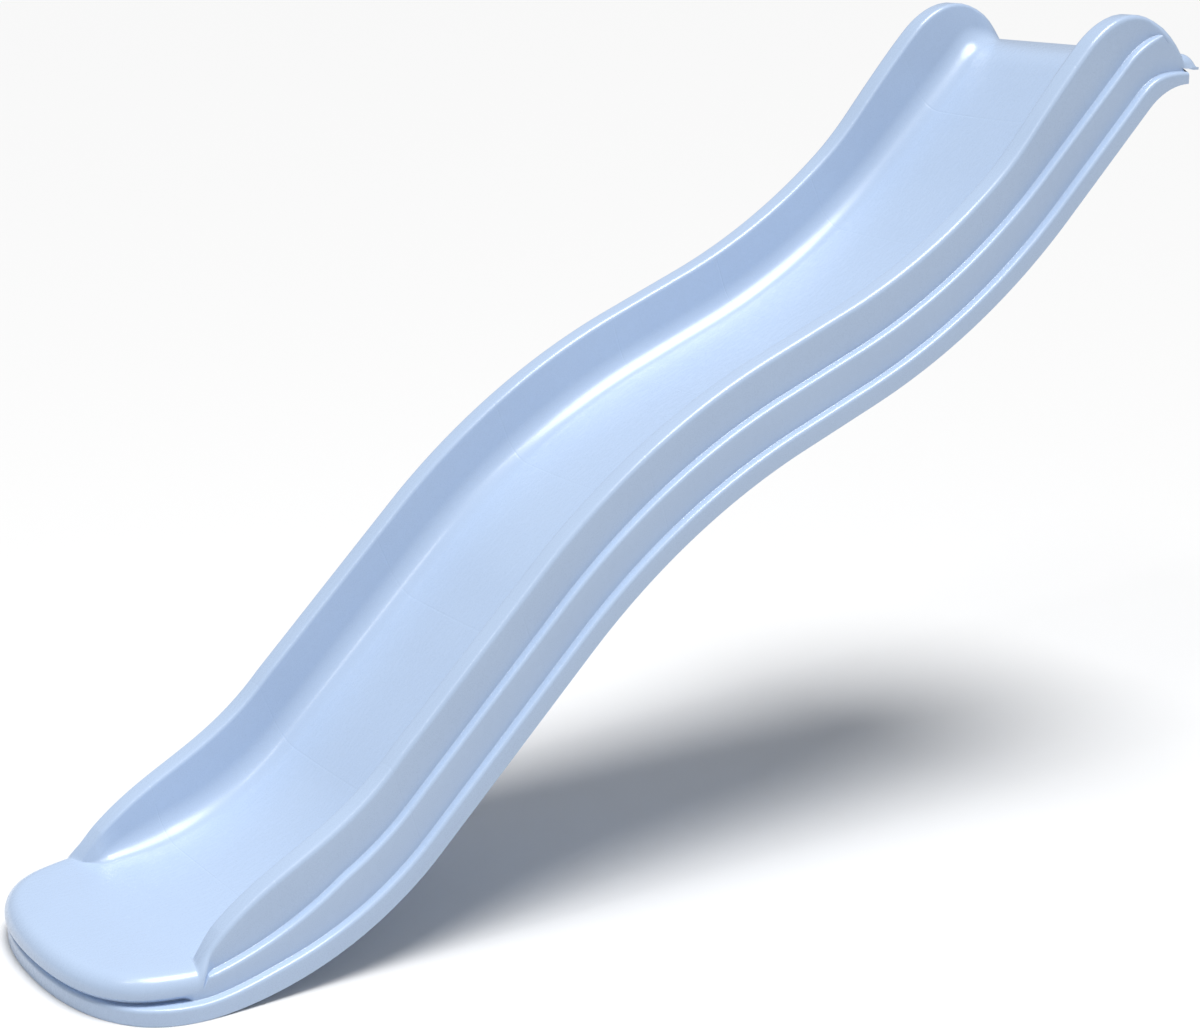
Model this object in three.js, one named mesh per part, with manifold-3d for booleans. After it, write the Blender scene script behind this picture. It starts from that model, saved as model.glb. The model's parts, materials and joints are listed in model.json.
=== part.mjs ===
// Wave slide for a garden pool platform: a double-walled plastic moulding with a hooked top lip,
// its platform screws and the water fitting that wets the bed. Millimetres, +Z up.
// +X runs across the slide, +Y from the foot to the platform.
import * as THREE from 'three';
import { mergeVertices } from 'three/addons/utils/BufferGeometryUtils.js';
import Module from 'manifold-3d';

const wasm = await Module();
wasm.setup();

// ---- driving dimensions -------------------------------------------------------------------

const GAP = 0.3; // between pieces that touch
const DEG = Math.PI / 180;

// The wave: level foot, steep run, crest, mild run, dip, steep run, shoulder.
const FOOT_RADIUS = 539;
const STEEP = 44 * DEG;
const LOWER_RUN = 355;
const CREST_RADIUS = 1140;
const MILD = 21 * DEG;
const MILD_RUN = 146;
const DIP_RADIUS = 1170;
const UPPER_RUN = 237;
const SHOULDER_RADIUS = 125;
const LEVEL_FOOT = 55; // level length behind the nose's widest line
const LEAN = 0.4; // share of the slope by which the cross-section leans back

// The cross-section.
const WIDTH = 510;
const STEP = 15; // width of each ledge on the outer sides
const LOWER_LEDGE = 31; // height of the lower ledge over the base edge
const REAR_LEDGE = 19; // the lower ledge where it meets the lip
const UPPER_LEDGE = 86;
const CORNER_LEDGE = 52; // the upper ledge where it starts at the nose
const LEDGE_RISE = 240; // length in which it reaches its full height
const LEDGE_FADE = 18; // height over it in which it reaches its full width
const EDGE_RADIUS = 6;
const WALL_TOP = 150; // height of the rim over the base edge
const EAR_TOP = 167; // height of the hand-hold humps
const RIM_RADIUS = 9;
const RIM_FLAT = 21;
const RIM_INSIDE = WIDTH / 2 - 2 * STEP - RIM_RADIUS - RIM_FLAT; // where the rim turns inwards
const WALL_SLOPE = 14 * DEG; // of the channel's side walls
const END_SLOPE = 50 * DEG; // of those walls where they have run out
const BED_RADIUS = 52; // fillet between bed and side wall
const BED_HEIGHT = 58;
const FULL_DEPTH = 60; // of the channel where its walls have their full section
const LIP_HEIGHT = 45; // of the bed where it runs out over the platform
const SKIN = 4; // wall thickness of the moulding
const RIM_SHARE = 0.35; // largest share of the channel's depth its rim's rounding takes
const FILLET_SHARE = 0.65; // and the fillet at the bed
const RIM_CLEARANCE = 3; // between the rim's rounding and the ledge below it
const LEAST_SHARE = 0.06; // of a ledge's width, below which it is left out
const SPREAD = 66; // between the drawn sections
const FINE_SPREAD = 22; // between them at the foot and at the humps
const OVERRUN = 12; // by which a swept body is drawn too long before it is cut to length

// The foot.
const NOSE_LENGTH = 195;
const NOSE_BLUNTNESS = 3;
const NOSE_SQUARENESS = 2.2;
const NOSE_RADIUS = 25; // of the roll round the nose's top
const NOSE_UNDERCUT = 10; // by which the nose's side draws in towards its lower ledge
const NOSE_LEDGE = 24; // height of the lower ledge at the nose
const TIP_LEDGE = 7; // width of that ledge at the tip
const TIP_FADE = 100; // along which it narrows
const NOSE_TOP = 62;
const RIM_FADE = 1.5; // what is left of the rim where the walls have run out
const WALL_END = 46; // where the side walls run out, forward of the nose's widest line
const WALL_RISE = 300;
const WALL_SWEEP = 3.5; // how early in that length they gain their height
const BAND_END = 70; // where the middle band has run out into the nose
const BAND_FADE = 16;
const SIDE_RAYS = 9; // sections drawn round each side of the nose
const FRONT_RAYS = 7; // and round each half of its front

// The top: humps, lip and hook.
const EAR_RISE = 200;
const EAR_FALL = 150;
const EAR_END = 6; // where the humps have come down, behind the body
const LIP_FLAT = 18; // level length of the lip behind the body
const HOOK_RADIUS = 20;
const HOOK_DROP = 1; // straight part of the hook's end

// Underside.
const CLOSING_SKIN = 3;
const CHANNEL_CENTRE = 57;
const CHANNEL_MOUTH = 60;
const CHANNEL_ROOF = 40;
const CHANNEL_DEPTH = 36;
const CHANNEL_LEAST = 1; // depth left where a channel has run out
const CHANNEL_START = 24; // behind the nose's tip, and before the rear wall
const CHANNEL_FADE = 36;

// Platform screws.
const SCREW_SPACING = 300;
const SCREW_HEIGHT = 15; // over the base edge
const SCREW_RADIUS = 3;
const INSERT_RADIUS = 5.5;
const INSERT_LENGTH = 14;
const WASHER_RADIUS = 9;
const WASHER_THICKNESS = 1.6;
const HEAD_RADIUS = 6;
const HEAD_HEIGHT = 4;

// Water fitting.
const WATER_CLEARANCE = 1; // between the fitting's flange and the bed's fillet
const WATER_ALONG = 0.7; // share of the upper steep run
const STEM_RADIUS = 8;
const SPIGOT_STEP = 2; // by which the tube's spigots are thinner than the stems
const BORE_RADIUS = 4;
const FLANGE_RADIUS = 15;
const SEAL_THICKNESS = 2;
const NUT_RADIUS = 14;
const NUT_HEIGHT = 6;
const TUBE_WALL = 2.2;
const SPIGOT_SHARE = 0.35; // of the space between the two stems, taken by each spigot
const BASE_FLANGE = 3; // thickness of the bush's flange
const NIPPLE_LENGTH = 30;
const NIPPLE_NECK = 6.6;
const NIPPLE_COLLAR = 8.2; // radius of the collars either side of the O-ring
const RING_RADIUS = 8.7;
const RING_TOP = -22.5; // the O-ring's groove, from the underside
const RING_LOW = -25.5;

// Plugs of the moulding holes, in the right-hand channel.
const PLUG_RADIUS = 6;
const PLUG_FLANGE = 10;

// ---- the wave as a chain of lines and arcs ------------------------------------------------

function makeWave() {
  const runs = [
    { radius: FOOT_RADIUS, from: 0, to: STEEP },
    { run: LOWER_RUN, angle: STEEP },
    { radius: CREST_RADIUS, from: STEEP, to: MILD },
    { run: MILD_RUN, angle: MILD },
    { radius: DIP_RADIUS, from: MILD, to: STEEP },
    { run: UPPER_RUN, angle: STEEP },
    { radius: SHOULDER_RADIUS, from: STEEP, to: 0 },
  ];
  const pieces = [];
  let y = -LEVEL_FOOT;
  let z = 0;
  for (const item of runs) {
    const bend = Math.sign((item.to ?? 0) - (item.from ?? 0));
    const dy = item.run
      ? item.run * Math.cos(item.angle)
      : bend * item.radius * (Math.sin(item.to) - Math.sin(item.from));
    const dz = item.run
      ? item.run * Math.sin(item.angle)
      : bend * item.radius * (Math.cos(item.from) - Math.cos(item.to));
    pieces.push({ ...item, bend, y, z, end: y + dy });
    y += dy;
    z += dz;
  }
  return { pieces, endY: y, endZ: z };
}

const wave = makeWave();
const REAR = wave.endY;
const UPPER_START = wave.pieces[5].y;
const SHOULDER_START = wave.pieces[6].y;
const lipTop = wave.endZ + LIP_HEIGHT;
const lipEnd = REAR + LIP_FLAT + HOOK_RADIUS;
const lipWidth = WIDTH - 2 * STEP;
const hookLow = lipTop - HOOK_RADIUS - HOOK_DROP;

// Height and slope of the base edge at a distance y along the platform's axis.
function baseAt(y) {
  if (y <= -LEVEL_FOOT) return { z: 0, slope: 0 };
  if (y >= REAR) return { z: wave.endZ, slope: 0 };
  const item = wave.pieces.find((piece) => y <= piece.end);
  if (item.run) {
    return { z: item.z + (y - item.y) * Math.tan(item.angle), slope: item.angle };
  }
  const slope = Math.asin(Math.sin(item.from) + (item.bend * (y - item.y)) / item.radius);
  const rise = item.bend * item.radius * (Math.cos(item.from) - Math.cos(slope));
  return { z: item.z + rise, slope };
}

// A point of the cross-section: x across, y where its base line stands, h up the leaning section.
function place(x, y, h) {
  const base = baseAt(y);
  const lean = LEAN * base.slope;
  return new THREE.Vector3(x, y - h * Math.sin(lean), base.z + h * Math.cos(lean));
}

// ---- the cross-section of the moulding ----------------------------------------------------

const smooth = (value) => THREE.MathUtils.smoothstep(value, 0, 1);
const blend = THREE.MathUtils.lerp;
const snap = (share) => (share < LEAST_SHARE ? 0 : share);

function wallHeight(y) {
  const foot = THREE.MathUtils.clamp((y + WALL_END) / WALL_RISE, 0, 1);
  const nose = NOSE_TOP + RIM_FADE;
  const low = nose + (WALL_TOP - nose) * (1 - (1 - foot) ** WALL_SWEEP);
  const ear = REAR + EAR_END - EAR_FALL;
  const swell = (EAR_TOP - WALL_TOP) * smooth((y - ear + EAR_RISE) / EAR_RISE);
  const fall = THREE.MathUtils.clamp((y - ear) / EAR_FALL, 0, 1) ** 2;
  return low + swell - (EAR_TOP - LIP_HEIGHT - 3 * RIM_FADE) * fall;
}

function bedHeight(y) {
  const foot = smooth(y / WALL_RISE);
  const top = smooth((y - SHOULDER_START) / (REAR - SHOULDER_START));
  return blend(blend(NOSE_TOP, BED_HEIGHT, foot), LIP_HEIGHT, top);
}

const upperLedgeHeight = (y) =>
  blend(CORNER_LEDGE, UPPER_LEDGE, THREE.MathUtils.clamp((y + WALL_END) / LEDGE_RISE, 0, 1));

function lowerLedge(y) {
  const rear = smooth((y - SHOULDER_START) / (REAR - SHOULDER_START));
  const foot = smooth((y + LEVEL_FOOT) / (2 * BAND_END));
  return blend(blend(NOSE_LEDGE, LOWER_LEDGE, foot), REAR_LEDGE, rear);
}

function arc(x, h, radius, from, to, steps) {
  return Array.from({ length: steps + 1 }, (_, i) => {
    const angle = blend(from, to, i / steps) * DEG;
    return [x + radius * Math.cos(angle), h + radius * Math.sin(angle)];
  });
}

// Half of the section as [x, h] points, from under the middle round the side to the bed's middle.
// `inset` is the distance inside the outer surface: 0 outside, SKIN for the hollow.
function halfSection(y, inset) {
  const wall = wallHeight(y);
  const bed = bedHeight(y);
  const depth = wall - bed;
  const side = smooth(depth / FULL_DEPTH);
  const inNose = 1 - smooth((y + BAND_END) / BAND_FADE);
  const atTip = smooth((-BAND_END - y) / TIP_FADE);
  const outer = WIDTH / 2 - inset;
  const crease = outer - blend(STEP + NOSE_UNDERCUT * inNose, TIP_LEDGE, atTip);
  const middle = crease + NOSE_UNDERCUT * inNose;
  const highest = upperLedgeHeight(y);
  const ledge = snap(smooth((wall - highest - RIM_RADIUS - RIM_CLEARANCE) / LEDGE_FADE));
  const roll = blend(NOSE_RADIUS, RIM_RADIUS, ledge);
  const rimRadius = Math.max(roll - inset, 0.5);
  const upper = middle - STEP * ledge;
  const upperLedge = Math.min(highest, wall - roll - RIM_CLEARANCE);
  const rim = wall - inset - rimRadius;
  const innerRadius = Math.min(rimRadius, RIM_SHARE * depth);
  const floor = bed - inset;
  const fillet = Math.min(BED_RADIUS + inset, FILLET_SHARE * depth);
  const slope = blend(END_SLOPE, WALL_SLOPE, side);
  const sine = Math.sin(slope);
  const cosine = Math.cos(slope);
  const innerRim = wall - inset - innerRadius;
  const drop = innerRim + innerRadius * sine - floor - fillet * (1 - sine);
  const toe = RIM_INSIDE - innerRadius * cosine - drop * Math.tan(slope) - fillet * cosine;
  const slopeDegrees = slope / DEG;
  const sole = inset ? -SKIN : 0; // the hollow opens downwards
  const edge = inset ? 1 : EDGE_RADIUS;
  const upperEdge = edge * ledge;
  const lower = lowerLedge(y) - inset;
  return [
    [0, sole],
    [outer, sole],
    ...arc(outer - edge, lower - edge, edge, 0, 90, inset ? 1 : 2),
    [crease, lower],
    ...arc(middle - upperEdge, upperLedge - inset - upperEdge, upperEdge, 0, 90, inset ? 1 : 2),
    [upper, upperLedge - inset],
    ...arc(upper - rimRadius, rim, rimRadius, 0, 90, 2),
    ...arc(RIM_INSIDE, innerRim, innerRadius, 90, 180 - slopeDegrees, 2),
    ...arc(toe, floor + fillet, fillet, -slopeDegrees, -90, 3),
    [toe / 2, floor],
    [0, floor],
  ];
}

// ---- meshes -------------------------------------------------------------------------------

// Surface through rows of points; `joined` joins each row's last point to its first.
function skinOf(rows, joined) {
  const width = rows[0].length;
  const positions = rows.flat().flatMap((point) => [point.x, point.y, point.z]);
  const faces = [];
  for (let i = 0; i + 1 < rows.length; i++) {
    for (let j = 0; j < (joined ? width : width - 1); j++) {
      const next = (j + 1) % width;
      const [a, b] = [i * width + j, i * width + next];
      faces.push([a, b, b + width], [a, b + width, a + width]);
    }
  }
  return { positions, faces };
}

function toManifold(positions, faces) {
  const raw = new THREE.BufferGeometry();
  raw.setAttribute('position', new THREE.Float32BufferAttribute(positions, 3));
  raw.setIndex(faces.flat());
  const merged = mergeVertices(raw, 1e-3);
  const index = Array.from(merged.index.array);
  const kept = [];
  for (let i = 0; i < index.length; i += 3) {
    const [a, b, c] = index.slice(i, i + 3);
    if (a !== b && b !== c && c !== a) kept.push(a, b, c);
  }
  const solid = fromArrays(merged.attributes.position.array, kept);
  return solid.volume() < 0 ? fromArrays(merged.attributes.position.array, flip(kept)) : solid;
}

function flip(index) {
  return index.map((_, i) => index[i - (i % 3) + (2 - (i % 3))]);
}

function fromArrays(positions, index) {
  const mesh = new wasm.Mesh({
    numProp: 3,
    vertProperties: new Float32Array(positions),
    triVerts: new Uint32Array(index),
  });
  return new wasm.Manifold(mesh);
}

function solid(geometry, matrix = new THREE.Matrix4()) {
  const copy = geometry.clone().applyMatrix4(matrix);
  copy.deleteAttribute('normal');
  copy.deleteAttribute('uv');
  const merged = mergeVertices(copy, 1e-3);
  const index = Array.from(merged.index.array);
  return toManifold(Array.from(merged.attributes.position.array), [index]);
}

function toGeometry(manifold) {
  const mesh = manifold.getMesh();
  const geometry = new THREE.BufferGeometry();
  geometry.setAttribute('position', new THREE.BufferAttribute(mesh.vertProperties.slice(), 3));
  geometry.setIndex(new THREE.BufferAttribute(mesh.triVerts.slice(), 1));
  return geometry;
}

// ---- the moulding -------------------------------------------------------------------------

// Distances along the axis at which the section is drawn, closer where it changes quickly.
function stations(end) {
  const list = [0];
  while (list.at(-1) < end) {
    const y = list.at(-1);
    const quick = y < WALL_RISE / 2 || y > REAR - EAR_FALL - FINE_SPREAD;
    list.push(Math.min(y + (quick ? FINE_SPREAD : SPREAD), end));
  }
  return list;
}

// The surface runs down the right side, round the nose and up the left side. Behind its end it
// closes in a point, which is cut off square.
function mouldedBody(inset, end) {
  const sideRows = stations(end + OVERRUN).map((y) =>
    halfSection(y, inset).map(([x, h]) => place(x, y, h)));
  const noseRows = noseTurns().map((turn) => noseRow(turn, inset));
  const mirror = (row) => row.map((point) => new THREE.Vector3(-point.x, point.y, point.z));
  const tip = sideRows[0].map(() => new THREE.Vector3(0, end + 2 * OVERRUN, wave.endZ));
  const rows = [tip, ...sideRows.slice().reverse(), ...noseRows, ...sideRows.map(mirror), tip];
  const { positions, faces } = skinOf(rows, false);
  const behind = box(-WIDTH, WIDTH, end, end + 3 * OVERRUN, 0, wave.endZ + 2 * EAR_TOP);
  return toManifold(positions, faces).subtract(behind);
}

// Turns of the nose's rays from one side to the other: evenly spaced along the slide at the sides,
// evenly turned round the front.
function noseTurns() {
  const sideEnd = Math.asin(0.5 ** (NOSE_BLUNTNESS / 2));
  const quarter = [];
  for (let i = 1; i <= SIDE_RAYS; i++) {
    quarter.push(Math.asin(((0.5 * i) / SIDE_RAYS) ** (NOSE_BLUNTNESS / 2)));
  }
  for (let i = 1; i < FRONT_RAYS; i++) {
    quarter.push(blend(sideEnd, Math.PI / 2, i / FRONT_RAYS));
  }
  return [...quarter, Math.PI / 2, ...quarter.map((turn) => Math.PI - turn).reverse()];
}

// One ray of the nose: a section turned round the middle of the foot on a blunt oval.
function noseRow(turn, inset) {
  const across = Math.sign(Math.cos(turn)) * Math.abs(Math.cos(turn)) ** (2 / NOSE_SQUARENESS);
  const forward = Math.sin(turn) ** (2 / NOSE_BLUNTNESS);
  const side = WIDTH / 2;
  const widest = side - TIP_LEDGE + NOSE_UNDERCUT;
  const reach = (x) => NOSE_LENGTH * (x / widest) ** (widest / NOSE_LENGTH);
  return halfSection(-reach(side - STEP) * forward, inset).map(([x, h]) =>
    place(x * across, -reach(x) * forward, h));
}

// A bar across the slide whose outline is drawn in the plane of Y and Z.
function crossBar(outline, width) {
  const shape = new THREE.Shape(outline.map(([y, z]) => new THREE.Vector2(y, z)));
  const geometry = new THREE.ExtrudeGeometry(shape, { depth: width, bevelEnabled: false });
  const turn = new THREE.Matrix4().set(0, 0, 1, -width / 2, 1, 0, 0, 0, 0, 1, 0, 0, 0, 0, 0, 1);
  return solid(geometry, turn);
}

// Side view of the space under the lip, or of the hook's round end.
function hookOutline(start, inset) {
  const round = arc(REAR + LIP_FLAT, lipTop - HOOK_RADIUS, HOOK_RADIUS - inset, 90, 0, 6);
  const bottom = inset ? hookLow - 1 : hookLow;
  return [[start, bottom], [start, lipTop - inset], ...round, [lipEnd - inset, bottom]];
}

function box(x0, x1, y0, y1, z0, z1) {
  const geometry = new THREE.BoxGeometry(x1 - x0, y1 - y0, z1 - z0);
  const middle = new THREE.Vector3(x0 + x1, y0 + y1, z0 + z1).divideScalar(2);
  return solid(geometry, new THREE.Matrix4().setPosition(middle));
}

function makeSlideShell(holes) {
  const lipStart = REAR + LIP_FLAT;
  const hull = mouldedBody(0, lipStart);
  const behind = box(-WIDTH, WIDTH, REAR, lipEnd, 0, hookLow);
  const body = hull.subtract(behind).add(crossBar(hookOutline(lipStart, 0), lipWidth));
  const hollow = mouldedBody(SKIN, REAR - SKIN);
  const underHook = crossBar(hookOutline(REAR, SKIN), lipWidth - 2 * SKIN);
  let shell = body.subtract(hollow).subtract(underHook);
  for (const hole of holes) shell = shell.subtract(hole);
  return shell;
}

// Depth of the two channels, which run out before the nose's front and before the rear wall.
function channelDepth(y) {
  const front = smooth((y + NOSE_LENGTH - CHANNEL_START) / CHANNEL_FADE);
  const rear = smooth((REAR - CHANNEL_START - y) / CHANNEL_FADE);
  return blend(CHANNEL_LEAST, CHANNEL_DEPTH, front * rear);
}

// Section of the closing skin before it is trimmed.
function sheetSection(y) {
  const mouth = CHANNEL_MOUTH / 2;
  const roof = CHANNEL_ROOF / 2;
  const depth = channelDepth(y);
  const right = [
    [CHANNEL_CENTRE - mouth, 0],
    [CHANNEL_CENTRE - roof, depth],
    [CHANNEL_CENTRE + roof, depth],
    [CHANNEL_CENTRE + mouth, 0],
    [WIDTH, 0],
  ];
  const lower = [...right.map(([x, h]) => [-x, h]).reverse(), ...right];
  return [...lower, ...lower.map(([x, h]) => [x, h + CLOSING_SKIN]).reverse()];
}

// The closing skin: a sheet with two channels, swept along the wave and trimmed to the hollow.
function makeUndersideSkin(holes) {
  const front = -NOSE_LENGTH + CHANNEL_START;
  const along = [-NOSE_LENGTH - OVERRUN, front, front + CHANNEL_FADE / 2, front + CHANNEL_FADE,
    -LEVEL_FOOT, ...stations(REAR + OVERRUN).slice(1)];
  const rows = along.map((y) => sheetSection(y).map(([x, h]) => place(x, y, h)));
  const { positions, faces } = skinOf(rows, true);
  const flat = sheetSection(0).map(([x, h]) => new THREE.Vector2(x, h));
  const last = (rows.length - 1) * flat.length;
  for (const [a, b, c] of THREE.ShapeUtils.triangulateShape(flat, [])) {
    faces.push([c, b, a], [last + a, last + b, last + c]);
  }
  const sheet = toManifold(positions, faces);
  let skin = sheet.intersect(mouldedBody(SKIN + GAP, REAR - SKIN - GAP));
  for (const hole of holes) skin = skin.subtract(hole);
  return skin;
}

// ---- turned pieces ------------------------------------------------------------------------

// A ring or pin turned about +Z from a list of [radius, height] corners.
function turned(profile, sides = 20) {
  const points = [...profile, profile[0]].map(([r, z]) => new THREE.Vector2(r, z));
  return solid(new THREE.LatheGeometry(points, sides), new THREE.Matrix4().makeRotationX(Math.PI / 2));
}

const ring = (inner, outer, low, high, sides) =>
  turned([[inner, low], [outer, low], [outer, high], [inner, high]], sides);
const rod = (radius, low, high, sides) =>
  turned([[0, low], [radius, low], [radius, high], [0, high]], sides);
const hexNut = (bore, radius, low, high) =>
  rod(radius, low, high, 6).subtract(rod(bore, low - 1, high + 1));

// ---- water fitting, built on its own axis: 0 is the underside, +Z out through the bed --------

const sectionLean = STEEP - LEAN * STEEP;
const bedTop = BED_HEIGHT * Math.cos(sectionLean);
const bedUnder = (BED_HEIGHT - SKIN) * Math.cos(sectionLean);
const sheetTop = CLOSING_SKIN * Math.cos(sectionLean);
const holeRadius = STEM_RADIUS + GAP;
const stemEnd = bedUnder - SEAL_THICKNESS - NUT_HEIGHT - 4 * GAP;
const bushEnd = sheetTop + SEAL_THICKNESS + NUT_HEIGHT + 4 * GAP;
const spigot = SPIGOT_SHARE * (stemEnd - bushEnd);
const spigotRadius = STEM_RADIUS - SPIGOT_STEP;
const tubeBore = spigotRadius + GAP;

const waterParts = {
  spray_nozzle: () => turned([
    [BORE_RADIUS, stemEnd - spigot], [spigotRadius, stemEnd - spigot], [spigotRadius, stemEnd],
    [STEM_RADIUS, stemEnd], [STEM_RADIUS, bedTop + GAP], [FLANGE_RADIUS, bedTop + GAP],
    [FLANGE_RADIUS - 1, bedTop + 3], [FLANGE_RADIUS - 6, bedTop + 6], [BORE_RADIUS, bedTop + 7],
  ]),
  nozzle_seal: () => ring(holeRadius, NUT_RADIUS, bedUnder - GAP - SEAL_THICKNESS, bedUnder - GAP),
  nozzle_lock_nut: () => hexNut(holeRadius, NUT_RADIUS, stemEnd + GAP,
    bedUnder - 2 * GAP - SEAL_THICKNESS),
  supply_tube: () => ring(tubeBore, tubeBore + TUBE_WALL, bushEnd + GAP, stemEnd - GAP),
  inlet_bush: () => turned([
    [BORE_RADIUS, -GAP - BASE_FLANGE], [FLANGE_RADIUS, -GAP - BASE_FLANGE],
    [FLANGE_RADIUS, -GAP], [STEM_RADIUS, -GAP],
    [STEM_RADIUS, bushEnd], [spigotRadius, bushEnd], [spigotRadius, bushEnd + spigot],
    [BORE_RADIUS, bushEnd + spigot],
  ]),
  inlet_seal: () => ring(holeRadius, NUT_RADIUS, sheetTop + GAP, sheetTop + GAP + SEAL_THICKNESS),
  inlet_lock_nut: () => hexNut(holeRadius, NUT_RADIUS,
    sheetTop + 2 * GAP + SEAL_THICKNESS, bushEnd - GAP),
  hose_nipple: () => turned([
    [BORE_RADIUS, -BASE_FLANGE - 2 * GAP], [NUT_RADIUS - 1, -BASE_FLANGE - 2 * GAP],
    [NUT_RADIUS - 1, -10], [7, -10], [7, -13], [9, -14], [9, -17],
    [NIPPLE_NECK, -18.5], [NIPPLE_NECK, -21], [NIPPLE_COLLAR, -21], [NIPPLE_COLLAR, RING_TOP],
    [NIPPLE_NECK, RING_TOP], [NIPPLE_NECK, RING_LOW], [NIPPLE_COLLAR, RING_LOW],
    [NIPPLE_COLLAR, -NIPPLE_LENGTH + 2], [7, -NIPPLE_LENGTH], [BORE_RADIUS, -NIPPLE_LENGTH],
  ]),
  nipple_o_ring: () => ring(NIPPLE_NECK + GAP, RING_RADIUS, RING_LOW + GAP, RING_TOP - GAP),
};

const waterY = UPPER_START + WATER_ALONG * UPPER_RUN * Math.cos(STEEP);
const waterX = halfSection(waterY, 0).at(-3)[0] - FLANGE_RADIUS - WATER_CLEARANCE;
const waterFrame = new THREE.Matrix4()
  .makeRotationX(STEEP)
  .setPosition(waterX, waterY, baseAt(waterY).z);
const waterHole = rod(holeRadius, -10, bedTop + 10).transform(waterFrame.elements);

// ---- platform screws on the rear wall ------------------------------------------------------

const screwFrame = (side) => new THREE.Matrix4()
  .makeRotationX(-Math.PI / 2)
  .setPosition((side * SCREW_SPACING) / 2, REAR, wave.endZ + SCREW_HEIGHT);

const screwParts = {
  threaded_insert: () => turned([
    [SCREW_RADIUS + GAP, GAP], [INSERT_RADIUS + 2, GAP], [INSERT_RADIUS + 2, GAP + 1],
    [INSERT_RADIUS, GAP + 1], [INSERT_RADIUS, -INSERT_LENGTH], [SCREW_RADIUS + GAP, -INSERT_LENGTH],
  ]),
  platform_washer: () =>
    ring(SCREW_RADIUS + GAP, WASHER_RADIUS, 2 * GAP + 1, 2 * GAP + 1 + WASHER_THICKNESS),
  platform_screw: () => {
    const seat = 3 * GAP + 1 + WASHER_THICKNESS;
    const head = rod(HEAD_RADIUS, seat, seat + HEAD_HEIGHT, 6);
    return head.add(rod(SCREW_RADIUS, -INSERT_LENGTH - 2, seat + 1, 16));
  },
};

const screwHoles = [-1, 1].map((side) =>
  rod(INSERT_RADIUS + GAP, -3 * SKIN, SKIN).transform(screwFrame(side).elements));

// ---- plugs in the roof of the right-hand channel -------------------------------------------

const plugFrame = (y) => new THREE.Matrix4()
  .makeRotationX(LEAN * baseAt(y).slope)
  .setPosition(CHANNEL_CENTRE, y, baseAt(y).z);
const plug = () => turned([
  [0, CHANNEL_DEPTH - GAP - 3], [PLUG_FLANGE, CHANNEL_DEPTH - GAP - 3],
  [PLUG_FLANGE, CHANNEL_DEPTH - GAP],
  [PLUG_RADIUS, CHANNEL_DEPTH - GAP], [PLUG_RADIUS, CHANNEL_DEPTH + CLOSING_SKIN + 4],
  [0, CHANNEL_DEPTH + CLOSING_SKIN + 4],
]);
const plugPlaces = { drain_plug: -LEVEL_FOOT - 30, moulding_plug: -LEVEL_FOOT - 70 };
const plugHoles = Object.values(plugPlaces).map((y) =>
  rod(PLUG_RADIUS + GAP, 0, CHANNEL_DEPTH + 10).transform(plugFrame(y).elements));

// ---- the scene graph -----------------------------------------------------------------------

const paint = (color, roughness, metalness = 0) =>
  new THREE.MeshStandardMaterial({ color, roughness, metalness });
const BLUE = () => paint(0xa9c4ea, 0.25);
const WHITE = () => paint(0xe9ecef, 0.4);
const GREY = () => paint(0x6d7278, 0.45);
const RUBBER = () => paint(0x1d1f21, 0.8);
const STEEL = () => paint(0xc9ccd0, 0.3, 1);
const BRASS = () => paint(0xc9a24b, 0.35, 1);

const waterFinish = {
  nozzle_seal: RUBBER,
  inlet_seal: RUBBER,
  nipple_o_ring: RUBBER,
  supply_tube: WHITE,
};
const screwFinish = { threaded_insert: BRASS, platform_washer: STEEL, platform_screw: STEEL };

const slide = new THREE.Group();

function addMesh(name, manifold, material, matrix) {
  const mesh = new THREE.Mesh(toGeometry(manifold), material);
  mesh.name = name;
  if (matrix) mesh.applyMatrix4(matrix);
  slide.add(mesh);
}

addMesh('slide_shell', makeSlideShell([waterHole, ...screwHoles]), BLUE());
addMesh('underside_skin', makeUndersideSkin([waterHole, ...plugHoles]), BLUE());
for (const [name, make] of Object.entries(waterParts)) {
  addMesh(name, make(), (waterFinish[name] ?? GREY)(), waterFrame);
}
for (const [side, suffix] of [[-1, 'left'], [1, 'right']]) {
  for (const [name, make] of Object.entries(screwParts)) {
    addMesh(`${name}_${suffix}`, make(), screwFinish[name](), screwFrame(side));
  }
}
for (const [name, y] of Object.entries(plugPlaces)) {
  addMesh(name, plug(), GREY(), plugFrame(y));
}

// The origin is on the ground under the middle of the slide.
slide.position.y = -(lipEnd - NOSE_LENGTH) / 2;

export default slide;
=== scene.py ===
"""Looks for the wave slide: smooth moulding, its underside, platform screws and hose fitting.

Metres throughout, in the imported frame: +X across the slide, +Y from the foot to the platform.
"""

import json
import logging
import math
from dataclasses import dataclass, field
from enum import Enum
from typing import Sequence

import bmesh
import bpy
import numpy as np
from mathutils import Matrix, Vector

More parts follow.
